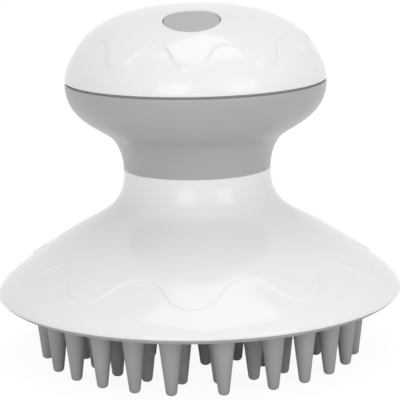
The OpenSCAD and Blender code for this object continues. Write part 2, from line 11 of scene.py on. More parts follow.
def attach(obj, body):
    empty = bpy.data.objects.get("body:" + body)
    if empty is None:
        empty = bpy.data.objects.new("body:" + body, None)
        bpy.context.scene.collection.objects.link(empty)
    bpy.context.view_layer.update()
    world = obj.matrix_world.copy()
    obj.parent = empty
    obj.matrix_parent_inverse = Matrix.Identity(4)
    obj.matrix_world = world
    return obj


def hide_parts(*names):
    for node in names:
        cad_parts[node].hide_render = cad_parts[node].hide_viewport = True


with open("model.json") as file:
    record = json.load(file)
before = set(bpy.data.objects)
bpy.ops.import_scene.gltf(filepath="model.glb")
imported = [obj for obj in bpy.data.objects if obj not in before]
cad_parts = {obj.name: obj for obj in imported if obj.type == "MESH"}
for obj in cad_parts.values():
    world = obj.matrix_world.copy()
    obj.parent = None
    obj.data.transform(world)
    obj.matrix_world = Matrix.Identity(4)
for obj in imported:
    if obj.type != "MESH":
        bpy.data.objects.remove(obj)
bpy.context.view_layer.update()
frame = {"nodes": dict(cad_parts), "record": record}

MM = 0.001
NODES = frame["nodes"]

# ------------------------------------------------------------------ sizes, in millimetres
#
# Radii are measured from the upright axis, heights (Z) from the tips of the prongs, and turns
# from the front.

# Cap: a dome, the lip that meets the seam, and the tongue that plugs into the handle
CAP_Z, CAP_R, CAP_H, CAP_WALL = 71.6, 33.2, 17.95, 2.2
DOME_A, DOME_B = 2.7, 1.7
CAP_LIP, CAP_EDGE = 0.15, 0.18
CAP_SEAT_R, CAP_GROOVE_R, CAP_GROOVE_DRAFT, CAP_INNER_R = 30.95, 32.7, 0.05, 30.2
TONGUE_R, TONGUE_TOP, TONGUE_DEPTH, TONGUE_GAP_X = 29.6, 74.2, 2.6, 9

# Wavy edges of the raised fields: (middle radius, swing) and how proud the field stands
WAVES, WAVE_STEEP = 10, 1.5
CAP_WAVE, CAP_RELIEF = (29.1, 2.3), 0.45
SKIRT_WAVE, SKIRT_RELIEF = (42.8, 3.6), 0.3

# Button, in its own leaning frame: its side, groove for the seal, flange, bore and stem
BUTTON_Y, BUTTON_TILT, BUTTON_SINK = 16.2, math.radians(16), 0.4
BUTTON_R, BUTTON_EDGE, BUTTON_CHAMFER = 7.0, 0.35, 0.1
BUTTON_HOLE_R, COLLAR_DEPTH, COLLAR_WALL, COLLAR_CHAMFER = 7.14, 4.4, 1.66, 0.2
GROOVE_R, GROOVE_TOP, GROOVE_LOW = 6.1, -2.35, -3.45
FLANGE_R, FLANGE_TOP, FLANGE_H = 8.4, -COLLAR_DEPTH - 0.1, 0.6
BORE_R, BORE_TOP = 5.3, -1.7
STEM_R, STEM_LOW = 1.6, -5.3

# Shells below the cap: cubic outlines through (radius, height) control points
WALL = 2.0
RIM_R, RIM_Z, NECK_R, NECK_Z = 52.0, 17.2, 18.8, 48.7
DISH_TOP, CREASE_Z, CREASE_R = 70.9, 56.5, 21.3
KNEE = Vector((35.8, 30.2))
KNEE_DIR = Vector((-0.84, 0.54))
SKIRT_LOW = [Vector((RIM_R, RIM_Z)), Vector((50.8, 20.1)), KNEE - 14.5 * KNEE_DIR, KNEE]
SKIRT_HIGH = [KNEE, KNEE + 12.6 * KNEE_DIR, Vector((18.4, 38.2)), Vector((NECK_R, NECK_Z))]
NECK = [
    Vector((NECK_R, NECK_Z)),
    Vector((NECK_R, 49.8)),
    Vector((19.0, 53.4)),
    Vector((CREASE_R, CREASE_Z)),
]
DISH = [
    Vector((CREASE_R, CREASE_Z)),
    Vector((24.4, 60.1)),
    Vector((33.3, 61.5)),
    Vector((CAP_R, DISH_TOP)),
]
DISH_LIP = 0.45

# Seam strip, between the cap and the handle
STRIP_R, STRIP_INNER_R, STRIP_EDGE = 32.6, 31.1, 0.12

# Neck joint: the handle's spigot and ledge, and the skirt's socket that takes the spigot
SPIGOT_R, SPIGOT_BORE_R, SPIGOT_Z = 16.65, 14.65, 42.8
LEDGE_R, LEDGE_TOP, LEDGE_LOW = 16.75, 53.0, 50.7
SOCKET_R, SOCKET_Z, SOCKET_LOW = 16.8, 42.7, 40.7
SOCKET_BORE_R, SOCKET_OUTER_R = 11.2, 18.6
NECK_EDGE = 0.12

# Rim: the skirt's lip and edge, and the seat of the pad and base plate
RIM_LIP, RIM_EDGE, RIM_INSET, FOOT_INSET = 0.2, 0.35, 0.1, 0.16
PAD_GAP, PAD_GAP_LOW = 0.02, 0.04
SEAT_R, PLATE_R, PLATE_Z, PLATE_TOP = 46.4, 46.2, 18.2, 20.6

# Pad, its prongs, and the studs that hold it to the base plate
PAD_Z, PAD_FACE_Z, PAD_FLANGE_R, PAD_FACE_R = 16.45, 15.8, 51.2, 50.3
PRONG_ROOT_R, PRONG_TIP_R, PRONG_FLAT_R = 3.2, 1.0, 0.4
PRONG_FILLET, PRONG_DRAFT, PRONG_SUNK = 0.6, 0.1, 0.4
PAD_TURN = 10
STUDS, STUD_AT_R, STUD_R, STUD_HEAD_R, STUD_TIP_R = 8, 40, 2, 2.8, 1.8
STUD_SUNK, STUD_CLEAR, STUD_TOP = 0.2, 0.1, 1.6

# Charging port at the back, from its window inwards; shares are of the step before
PORT_Z, PORT_W, PORT_H, PORT_FLOOR, PORT_BACK = 66.6, 13.0, 6.0, 29.2, 27.4
PORT_LIP, PORT_LIP_SHARE = 0.25, (0.985, 0.97)
MOUTH_SHARE, BOSS_SHARE = (0.735, 0.6), (1.5, 2.1)
BOSS_W, BOSS_H = 14.6, 7.6

# Its plug and the bead that the plug swings on
HINGE_Y, HINGE_Z, HINGE_R, HINGE_W, HINGE_EDGE = 30.3, 63.9, 0.8, 6.0, 0.25
PLUG_W, PLUG_H, PLUG_BACK_Y = 12.7, 5.5, 29.5
PLUG_TAPER_W, PLUG_RISE = 1.3, 0.1
PLUG_PROUD, PLUG_CLEAR, BEAD_OVERLAP = 0.15, 0.15, 0.05

# ------------------------------------------------------------------ fineness of the meshes

SHELL_STEPS, HANDLE_STEPS, STRIP_STEPS, PAD_STEPS = 480, 288, 240, 240
BUTTON_STEPS, BEAD_STEPS, PRONG_STEPS = 96, 32, 20
SLOT_ARC_STEPS = 8
SHARP_ANGLE = math.radians(38)

# How the edge of a raised field climbs: (way inwards in mm, share of the relief)
STEP_EDGE = [
    (-0.42, 0.0),
    (-0.26, 0.06),
    (-0.1, 0.24),
    (0.0, 0.5),
    (0.1, 0.76),
    (0.26, 0.94),
    (0.42, 1.0),
]
CAP_STEP = [(0.75 * inwards, rise) for inwards, rise in STEP_EDGE]

# How the cap rolls over into the button's hole: (way out from the hole, way down), in mm
HOLE_EDGE = [(0.3, 0.0), (0.15, 0.04), (0.04, 0.15), (0.0, 0.3)]

# The plug's crowned face: (how much smaller than its outline, how far out of the dish)
PLUG_FACE = [
    (4.5, PLUG_PROUD),
    (2.6, PLUG_PROUD),
    (1.2, 0.14),
    (0.6, 0.12),
    (0.24, 0.02),
    (0.06, -0.14),
    (0.0, -0.4),
]
# Its back: (how much smaller, where across the depth, share of the taper)
PLUG_BACK = [
    (0.0, 30.3, 0.6),
    (0.0, 29.9, 1.0),
    (0.25, 29.58, 1.0),
    (0.8, PLUG_BACK_Y, 1.0),
    (2.4, PLUG_BACK_Y, 1.0),
]


# ------------------------------------------------------------------ outlines


def on_curve(c, t, out=0.0):
    """The point at t of a cubic curve with four control points, moved out of the shell by out."""
    s = 1 - t
    point = s**3 * c[0] + 3 * s * s * t * c[1] + 3 * s * t * t * c[2] + t**3 * c[3]
    slope = s * s * (c[1] - c[0]) + 2 * s * t * (c[2] - c[1]) + t * t * (c[3] - c[2])
    return point + out * Vector((slope.y, -slope.x)).normalized()


def curve_points(c, count, out=0.0, start=0.0, end=1.0):
    """Evenly spaced points of a curve, both ends included."""
    return [on_curve(c, start + (end - start) * i / count, out) for i in range(count + 1)]


def t_at(c, axis, value):
    """Where along a curve its radius (axis 0, falling) or height (axis 1, rising) is value."""
    low, high = 0.0, 1.0
    for _ in range(40):
        middle = (low + high) / 2
        here = on_curve(c, middle)[axis]
        ahead = here > value if axis == 0 else here < value
        low, high = (middle, high) if ahead else (low, middle)
    return (low + high) / 2


def wave_r(wave, turn):
    """Radius in plan of a wavy edge with rounded tongues, one of them at the front."""
    middle, swing = wave
    c = math.cos(WAVES * turn)
    return middle + swing * WAVE_STEEP * c / math.sqrt(1 + (WAVE_STEEP**2 - 1) * c * c)


def wave_slant(wave, turn):
    """How much longer a step across the wavy edge is along the radius than square to the edge."""
    step = 1e-4
    slope = (wave_r(wave, turn + step) - wave_r(wave, turn - step)) / (2 * step)
    return math.sqrt(1 + (slope / wave_r(wave, turn)) ** 2)


def dome_z(radius, proud=0.0):
    """Height of the cap's dome, or of the same dome standing proud of it."""
    share = min(1.0, radius / (CAP_R + proud))
    return CAP_Z + (CAP_H + proud) * (1 - share**DOME_A) ** (1 / DOME_B)


def dome_r(z):
    """Radius of the plain dome at a height near its edge."""
    return CAP_R * (1 - ((z - CAP_Z) / CAP_H) ** DOME_B) ** (1 / DOME_A)


def plan(radius, turn, z):
    """A point at a radius and height, turned from the front."""
    return Vector((radius * math.sin(turn), -radius * math.cos(turn), z))


def smooth(x):
    """An even rise from 0 to 1 without corners at its ends."""
    x = max(0.0, min(1.0, x))
    return x * x * (3 - 2 * x)


# The button's own frame: its origin on the raised dome, its axis leaning forward
BUTTON_AT = (
    Matrix.Translation((0, -BUTTON_Y, dome_z(BUTTON_Y, CAP_RELIEF)))
    @ Matrix.Rotation(BUTTON_TILT, 4, "X")
)


def by_button(radius, turn, height):
    """A point given in the button's own frame."""
    return BUTTON_AT @ plan(radius, turn, height)


def button_on_dome(radius, turn, proud, sink=0.0):
    """Where a line beside the button's axis, at this radius, meets a dome lowered by sink."""
    height = 0.0
    for _ in range(12):
        p = by_button(radius, turn, height)
        miss = dome_z(Vector((p.x, p.y)).length, proud) - sink - p.z
        height += miss * math.cos(BUTTON_TILT)
    return by_button(radius, turn, height)


# ------------------------------------------------------------------ mesh tools


def skin(rings, steps):
    """A mesh grown ring by ring from a circle: each ring gives its point, in mm, at every turn."""
    bm = bmesh.new()
    turn = bm.verts.layers.float.new("turn")
    bmesh.ops.create_circle(bm, segments=steps, radius=1)
    for v in bm.verts:
        v[turn] = math.atan2(v.co.x, -v.co.y)
        v.co = rings[0](v[turn]) * MM
    edges = bm.edges[:]
    for ring in rings[1:]:
        grown = bmesh.ops.extrude_edge_only(bm, edges=edges)["geom"]
        edges = [g for g in grown if isinstance(g, bmesh.types.BMEdge)]
        for v in (g for g in grown if isinstance(g, bmesh.types.BMVert)):
            v.co = ring(v[turn]) * MM
    return bm


def lip_rings(radius, low, edge, lean_step):
    """Three rings that round the lower outer corner of a shell's edge."""
    made = []
    for k in range(1, 4):
        lean = math.radians(lean_step * k)
        r = radius - edge + edge * math.sin(lean)
        z = low + edge * (1 - math.cos(lean))
        made.append(lambda a, r=r, z=z: plan(r, a, z))
    return made


def turned(outline, steps, closed=True, at=None):
    """An outline of (radius, height) points in mm, spun about the upright axis."""
    bm = bmesh.new()
    verts = [bm.verts.new((r * MM, 0, z * MM)) for r, z in outline]
    for a, b in zip(verts, verts[1:] + (verts[:1] if closed else [])):
        bm.edges.new((a, b))
    bmesh.ops.spin(
        bm,
        geom=bm.verts[:] + bm.edges[:],
        axis=(0, 0, 1),
        angle=math.tau,
        steps=steps,
        use_merge=True,
    )
    tidy(bm)
    if at is not None:
        bmesh.ops.transform(bm, matrix=at, verts=bm.verts[:])
    return bm


def tidy(bm):
    """Closes seams and poles, and turns the faces outwards."""
    bmesh.ops.remove_doubles(bm, verts=bm.verts[:], dist=1e-6)
    bmesh.ops.dissolve_degenerate(bm, edges=bm.edges[:], dist=1e-7)
    bmesh.ops.recalc_face_normals(bm, faces=bm.faces[:])
    return bm


def add_to(bm, other):
    """Puts a second mesh into the first."""
    mesh = bpy.data.meshes.new("part")
    other.to_mesh(mesh)
    other.free()
    bm.from_mesh(mesh)
    bpy.data.meshes.remove(mesh)


def piece(name, bm, body, nodes, slot):
    """Makes the object, hides the nodes that it stands for, and gives it its finish."""
    mesh = bpy.data.meshes.new(name)
    bm.to_mesh(mesh)
    bm.free()
    mesh.shade_smooth()
    mesh.set_sharp_from_angle(angle=SHARP_ANGLE)
    mesh.materials.append(FINISHES[slot])
    obj = bpy.data.objects.new(name, mesh)
    bpy.context.scene.collection.objects.link(obj)
    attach(obj, body)
    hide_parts(*nodes)
    return obj


def rounded(outline, corners, segments=4):
    """The outline with an arc in place of each corner in {index: radius}."""
    made = []
    for i, point in enumerate(outline):
        p = Vector(point)
        if i not in corners:
            made.append(p)
            continue
        before = (Vector(outline[i - 1]) - p).normalized()
        after = (Vector(outline[(i + 1) % len(outline)]) - p).normalized()
        half = before.angle(after) / 2
        reach = corners[i] / math.tan(half)
        centre = p + (before + after).normalized() * corners[i] / math.sin(half)
        first, last = p + before * reach - centre, p + after * reach - centre
        sweep = first.angle_signed(last)
        for k in range(segments + 1):
            turned_by = Matrix.Rotation(-sweep * k / segments, 2)
            made.append(centre + turned_by @ first)
    return made


# ------------------------------------------------------------------ finishes


def linear(level):
    """A display level from 0 to 1 as scene-linear light."""
    return level / 12.92 if level <= 0.04045 else ((level + 0.055) / 1.055) ** 2.4


def colour(*levels):
    """Display levels as the colour of a socket."""
    return (*[linear(level) for level in levels], 1.0)


def finish(name, base, spread, rough, rough_spread, grain, grain_depth, cloud=30.0, **sockets):
    """A moulded finish: cloudy colour, patchy gloss and a fine grain.

    spread and rough_spread are how far colour and roughness wander, grain is the size of the
    texture in mm and grain_depth its height in mm. cloud is the scale of the cloudy colour, and
    sockets are further inputs of the shader.
    """
    material = bpy.data.materials.new(name)
    material.use_nodes = True
    tree = material.node_tree
    node, link = tree.nodes, tree.links
    shader = node["Principled BSDF"]
    where = node.new("ShaderNodeTexCoord")

    def noise(scale, detail):
        texture = node.new("ShaderNodeTexNoise")
        texture.inputs["Scale"].default_value = scale
        texture.inputs["Detail"].default_value = detail
        link.new(where.outputs["Object"], texture.inputs["Vector"])
        return texture.outputs["Fac"]

    shades = node.new("ShaderNodeValToRGB")
    dark, light = shades.color_ramp.elements
    dark.position, light.position = 0.3, 0.7
    dark.color = colour(*[c * (1 - spread) for c in base])
    light.color = colour(*[min(1.0, c * (1 + spread)) for c in base])
    link.new(noise(cloud, 4), shades.inputs["Fac"])
    link.new(shades.outputs["Color"], shader.inputs["Base Color"])

    gloss = node.new("ShaderNodeMapRange")
    gloss.inputs["From Min"].default_value = 0.3
    gloss.inputs["From Max"].default_value = 0.7
    gloss.inputs["To Min"].default_value = rough - rough_spread
    gloss.inputs["To Max"].default_value = rough + rough_spread
    link.new(noise(cloud * 3, 3), gloss.inputs["Value"])
    link.new(gloss.outputs["Result"], shader.inputs["Roughness"])

    bump = node.new("ShaderNodeBump")
    bump.inputs["Strength"].default_value = 1.0
    bump.inputs["Distance"].default_value = grain_depth * MM
    link.new(noise(1 / (grain * MM), 2), bump.inputs["Height"])
    link.new(bump.outputs["Normal"], shader.inputs["Normal"])

    for socket, value in sockets.items():
        shader.inputs[socket.replace("_", " ")].default_value = value
    return material


# Name, base colour, its spread, roughness, its spread, grain, depth of the grain
FINISH_ROWS = [
    ("white_shell", (0.93, 0.93, 0.935), 0.004, 0.13, 0.03, 2.2, 0.0015),
    ("grey_shell", (0.66, 0.66, 0.665), 0.012, 0.42, 0.04, 0.35, 0.004),
    ("button_plastic", (0.71, 0.71, 0.715), 0.01, 0.5, 0.04, 0.3, 0.005),
    ("seam_rubber", (0.58, 0.58, 0.585), 0.03, 0.6, 0.05, 0.4, 0.01),
    ("soft_prongs", (0.65, 0.655, 0.665), 0.02, 0.72, 0.06, 0.6, 0.012),
    ("port_silicone", (0.62, 0.62, 0.625), 0.02, 0.6, 0.05, 0.4, 0.008),
    ("seal_rubber", (0.12, 0.12, 0.12), 0.05, 0.6, 0.06, 0.5, 0.01),
    ("inner_plastic", (0.25, 0.25, 0.26), 0.03, 0.55, 0.05, 0.5, 0.01),
    ("white_inner", (0.88, 0.88, 0.88), 0.01, 0.5, 0.04, 0.6, 0.008),
    ("circuit_board", (0.08, 0.3, 0.18), 0.08, 0.35, 0.06, 0.8, 0.01),
    ("switch_plastic", (0.1, 0.1, 0.1), 0.05, 0.45, 0.05, 0.4, 0.006),
    ("plated_steel", (0.72, 0.72, 0.74), 0.03, 0.3, 0.08, 0.5, 0.003),
    ("brass", (0.8, 0.65, 0.35), 0.04, 0.32, 0.08, 0.4, 0.006),
    ("lead_insulation", (0.7, 0.1, 0.08), 0.05, 0.4, 0.05, 0.6, 0.006),
    ("cell_sleeve", (0.12, 0.3, 0.55), 0.04, 0.3, 0.06, 1.2, 0.01),
]
# What some finishes have besides
FINISH_EXTRAS = {
    "grey_shell": {"Coat_Weight": 0.25, "Coat_Roughness": 0.12},
    "soft_prongs": {"cloud": 90.0, "Specular_IOR_Level": 0.15},
    "circuit_board": {"cloud": 220.0},
    "plated_steel": {"Metallic": 1.0},
    "brass": {"Metallic": 1.0},
}
FINISHES = {row[0]: finish(*row, **FINISH_EXTRAS.get(row[0], {})) for row in FINISH_ROWS}


# ------------------------------------------------------------------ cap and button


def cap_rings():
    """Rings of the cap: over the dome and its field, down the button's collar, back inside."""
    low = CAP_Z - CAP_LIP
    rings = [
        lambda a: plan(CAP_SEAT_R, a, CAP_Z),
        lambda a: plan(CAP_GROOVE_R, a, CAP_Z),
        lambda a: plan(CAP_GROOVE_R + CAP_GROOVE_DRAFT, a, low),
        lambda a: plan(CAP_R - CAP_EDGE, a, low),
    ]
    rings += lip_rings(CAP_R, low, CAP_EDGE, 30)

    def plain(share):
        def ring(a):
            last = wave_r(CAP_WAVE, a) - CAP_STEP[0][0] * wave_slant(CAP_WAVE, a)
            z = CAP_Z + CAP_EDGE + (dome_z(last) - CAP_Z - CAP_EDGE) * share
            return plan(dome_r(z), a, z)

        return ring

    rings += [plain(k / 12) for k in range(1, 12)]

    def field_edge(inwards, rise):
        def ring(a):
            radius = wave_r(CAP_WAVE, a) - inwards * wave_slant(CAP_WAVE, a)
            return plan(radius, a, dome_z(radius, CAP_RELIEF * rise))

        return ring

    rings += [field_edge(*step) for step in CAP_STEP]

    def field(share):
        def ring(a):
            outer = field_edge(*CAP_STEP[-1])(a)
            inner = button_on_dome(BUTTON_HOLE_R + HOLE_EDGE[0][0], a, CAP_RELIEF)
            flat = outer.lerp(inner, share)
            flat.z = dome_z(Vector((flat.x, flat.y)).length, CAP_RELIEF)
            return flat

        return ring

    rings += [field(k / 16) for k in range(1, 16)]
    rings += [
        lambda a, out=out, down=down: button_on_dome(BUTTON_HOLE_R + out, a, CAP_RELIEF, down)
        for out, down in HOLE_EDGE
    ]
    rings += [
        lambda a: by_button(BUTTON_HOLE_R, a, -COLLAR_DEPTH + COLLAR_CHAMFER),
        lambda a: by_button(BUTTON_HOLE_R + COLLAR_CHAMFER, a, -COLLAR_DEPTH),
        lambda a: by_button(BUTTON_HOLE_R + COLLAR_WALL, a, -COLLAR_DEPTH),
    ]

    def inside(share):
        def ring(a):
            start = button_on_dome(BUTTON_HOLE_R + COLLAR_WALL, a, -CAP_WALL)
            flat = start.lerp(plan(CAP_INNER_R, a, 0), share)
            flat.z = dome_z(Vector((flat.x, flat.y)).length, -CAP_WALL)
            return flat

        return ring

    rings += [inside(k / 12) for k in range(13)]

    def tongue_z(a):
        """The tongue that plugs into the handle stops short at the back, to clear the port."""
        at = plan(TONGUE_R, a, 0)
        return CAP_Z if abs(at.x) < TONGUE_GAP_X and at.y > 0 else CAP_Z - TONGUE_DEPTH

    rings += [
        lambda a: plan(TONGUE_R, a, TONGUE_TOP),
        lambda a: plan(TONGUE_R, a, tongue_z(a)),
        lambda a: plan(CAP_SEAT_R, a, tongue_z(a)),
    ]
    return rings + rings[:1]


def make_cap():
    bm = tidy(skin(cap_rings(), SHELL_STEPS))
    return piece("cap_shell", bm, "housing", ["cap"], "white_shell")


def make_button():
    """Button: a top that follows the dome, a rounded edge, and its side down to the stem."""
    rings = [
        lambda a, r=r: button_on_dome(r, a, CAP_RELIEF, BUTTON_SINK)
        for r in (0, 0.8, 1.8, 3, 4.2, 5.4, 6.2)
    ]
    for k in range(5):
        lean = math.radians(22.5 * k)
        radius = BUTTON_R - BUTTON_EDGE + BUTTON_EDGE * math.sin(lean)
        sink = BUTTON_SINK + BUTTON_EDGE * (1 - math.cos(lean))
        rings.append(lambda a, r=radius, s=sink: button_on_dome(r, a, CAP_RELIEF, s))
    side = [
        (BUTTON_R, GROOVE_TOP),
        (GROOVE_R, GROOVE_TOP),
        (GROOVE_R, GROOVE_LOW),
        (BUTTON_R, GROOVE_LOW),
        (BUTTON_R, FLANGE_TOP),
        (FLANGE_R - BUTTON_CHAMFER, FLANGE_TOP),
        (FLANGE_R, FLANGE_TOP - BUTTON_CHAMFER),
        (FLANGE_R, FLANGE_TOP - FLANGE_H),
        (BORE_R, FLANGE_TOP - FLANGE_H),
        (BORE_R, BORE_TOP),
        (STEM_R, BORE_TOP),
        (STEM_R, STEM_LOW + BUTTON_CHAMFER),
        (STEM_R - BUTTON_CHAMFER, STEM_LOW),
        (0, STEM_LOW),
    ]
    rings += [lambda a, r=r, h=h: by_button(r, a, h) for r, h in side]
    bm = tidy(skin(rings, BUTTON_STEPS))
    return piece("button_cap", bm, "push_button", ["button"], "button_plastic")


def make_seam_strip():
    outline = [
        (STRIP_R, DISH_TOP),
        (STRIP_R, CAP_Z),
        (STRIP_INNER_R, CAP_Z),
        (STRIP_INNER_R, DISH_TOP),
    ]
    bm = turned(rounded(outline, {0: STRIP_EDGE, 1: STRIP_EDGE}), STRIP_STEPS)
    return piece("seam_strip", bm, "housing", ["cap_gasket"], "seam_rubber")


# ------------------------------------------------------------------ handle and charging port


def slot_points(width, height):
    """Corners of a slot-shaped outline across the back, as (x, z) from its middle."""
    radius = height / 2
    half = (width - height) / 2
    made = []
    for side in (1, -1):
        for k in range(SLOT_ARC_STEPS + 1):
            a = side * math.pi * (k / SLOT_ARC_STEPS - 0.5)
            made.append(Vector((side * (half + radius * math.cos(a)), radius * math.sin(a))))
    return made


def cut_slot(bm, width, height, outside):
    """Cuts a slot through the shell's outer or inner wall at the back, and returns its edges."""
    sign = 1 if outside else -1
    margin = 1.2

    def near(face):
        c = face.calc_center_median() / MM
        return (
            abs(c.x) < width / 2 + margin
            and c.y > 10
            and abs(c.z - PORT_Z) < height / 2 + margin
            and face.normal.y * sign > 0.3
        )

    corners = slot_points(width, height)
    middle = Vector((0, 0, PORT_Z))
    for a, b in zip(corners, corners[1:] + corners[:1]):
        along = b - a
        if along.length < 1e-6:
            continue
        faces = [f for f in bm.faces if near(f)]
        edges = {e for f in faces for e in f.edges}
        verts = {v for f in faces for v in f.verts}
        bmesh.ops.bisect_plane(
            bm,
            geom=list(verts) + list(edges) + faces,
            dist=1e-7,
            plane_co=(middle + Vector((a.x, 0, a.y))) * MM,
            plane_no=Vector((along.y, 0, -along.x)),
        )
    half, radius = (width - height) / 2, height / 2
    doomed = []
    for face in (f for f in bm.faces if near(f)):
        c = face.calc_center_median() / MM
        across = max(0.0, abs(c.x) - half)
        if Vector((across, c.z - PORT_Z)).length < radius:
            doomed.append(face)
    kept = {e for e in bm.edges if e.is_boundary}
    bmesh.ops.delete(bm, geom=doomed, context="FACES")
    return [e for e in bm.edges if e.is_boundary and e not in kept]


def grow_port(bm, edges, y_at, share=(1.0, 1.0)):
    """Extrudes a loop of the port's edges to a depth, scaled about the middle of the port."""
    wide, tall = share
    grown = bmesh.ops.extrude_edge_only(bm, edges=edges)["geom"]
    for v in (g for g in grown if isinstance(g, bmesh.types.BMVert)):
        p = v.co / MM
        v.co = Vector((p.x * wide, y_at(p.y), PORT_Z + (p.z - PORT_Z) * tall)) * MM
    return [g for g in grown if isinstance(g, bmesh.types.BMEdge)]


def make_handle():
    """Grey shell with the neck's spigot and ledge, and the port's window, recess and boss."""
    neck = curve_points(NECK, 14)
    dish = curve_points(DISH, 44)
    inner = curve_points(NECK, 6, -WALL, 0.55)[:-1] + curve_points(DISH, 24, -WALL, 0.04)
    outline = [
        Vector((SPIGOT_BORE_R, SPIGOT_Z)),
        Vector((SPIGOT_R, SPIGOT_Z)),
        Vector((SPIGOT_R, NECK_Z)),
    ]
    outline += neck + dish[1:]
    top = len(outline) - 1
    outline += [Vector((inner[-1].x, DISH_TOP))] + inner[::-1][1:]
    outline += [
        Vector((LEDGE_R, LEDGE_TOP)),
        Vector((LEDGE_R, LEDGE_LOW)),
        Vector((SPIGOT_BORE_R, LEDGE_LOW)),
    ]
    bm = turned(rounded(outline, {top: DISH_LIP}, 6), HANDLE_STEPS)

    window = cut_slot(bm, PORT_W, PORT_H, True)
    inside = cut_slot(bm, BOSS_W, BOSS_H, False)
    lip = grow_port(bm, window, lambda y: y - PORT_LIP, PORT_LIP_SHARE)
    floor = grow_port(bm, lip, lambda y: PORT_FLOOR)
    mouth = grow_port(bm, floor, lambda y: PORT_FLOOR, MOUTH_SHARE)
    back = grow_port(bm, mouth, lambda y: PORT_BACK)
    boss = grow_port(bm, back, lambda y: PORT_BACK, BOSS_SHARE)
    bmesh.ops.bridge_loops(bm, edges=boss + inside)
    tidy(bm)
    return piece("handle", bm, "housing", ["handle_shell"], "grey_shell")


def dish_y(x, z, out=0.0):
    """Where the back of the dish lies at a place across it."""
    t = t_at(DISH, 1, z)
    radius = on_curve(DISH, t, out).x
    return math.sqrt(max(0.0, radius * radius - x * x))


def slot_ring(width, height, turn):
    """A point of a slot-shaped outline in the direction of the turn, as (x, z)."""
    x, z = math.sin(turn), -math.cos(turn)
    half, radius = (width - height) / 2, height / 2
    flat = radius / max(1e-9, abs(z))
    if abs(x) * flat <= half:
        return Vector((x * flat, z * flat))
    b = -abs(x) * half
    reach = -b + math.sqrt(max(0.0, b * b - half * half + radius * radius))
    return Vector((x * reach, z * reach))


def clear_of_bead(x, z, y_at, keep):
    """A point of the plug, raised where it lies nearer than keep to the axis that it swings on."""
    y = y_at(x, z)
    for _ in range(8):
        near = keep**2 - (y - HINGE_Y) ** 2
        if near > 0:
            z = max(z, HINGE_Z + math.sqrt(near))
            y = y_at(x, z)
    return Vector((x, y, z))


def make_port_plug():
    """Soft plug, with the bead along its lower edge that it swings on."""
    gap = HINGE_R + PLUG_CLEAR

    def face(shrink, out):
        def ring(a):
            p = slot_ring(PLUG_W - shrink, PLUG_H - shrink, a)
            keep = gap + shrink / 2
            return clear_of_bead(p.x, PORT_Z + p.y, lambda x, z: dish_y(x, z, out), keep)

        return ring

    def back(shrink, y, share):
        def ring(a):
            p = slot_ring(PLUG_W - PLUG_TAPER_W * share - shrink, PLUG_H - share - shrink, a)
            keep = HINGE_R - BEAD_OVERLAP if abs(p.x) < HINGE_W / 2 else gap
            return clear_of_bead(p.x, PORT_Z + PLUG_RISE * share + p.y, lambda x, z: y, keep)

        return ring

    rings = [lambda a: Vector((0, dish_y(0, PORT_Z, PLUG_PROUD), PORT_Z))]
    rings += [face(*step) for step in PLUG_FACE] + [back(*step) for step in PLUG_BACK]
    rings += [lambda a: Vector((0, PLUG_BACK_Y, PORT_Z + PLUG_RISE))]
    bm = tidy(skin(rings, BUTTON_STEPS))

    half = HINGE_W / 2
    bead = [(0, -half), (HINGE_R - HINGE_EDGE, -half), (HINGE_R, -half + HINGE_EDGE)]
    bead += [(r, -h) for r, h in bead[::-1]]
    axis = Matrix.Translation(Vector((0, HINGE_Y, HINGE_Z)) * MM)
    lay = axis @ Matrix.Rotation(math.pi / 2, 4, "Y")
    add_to(bm, turned(bead, BEAD_STEPS, closed=False, at=lay))
    return piece("port_cover_plug", bm, "port_cover", ["port_plug"], "port_silicone")


# ------------------------------------------------------------------ skirt


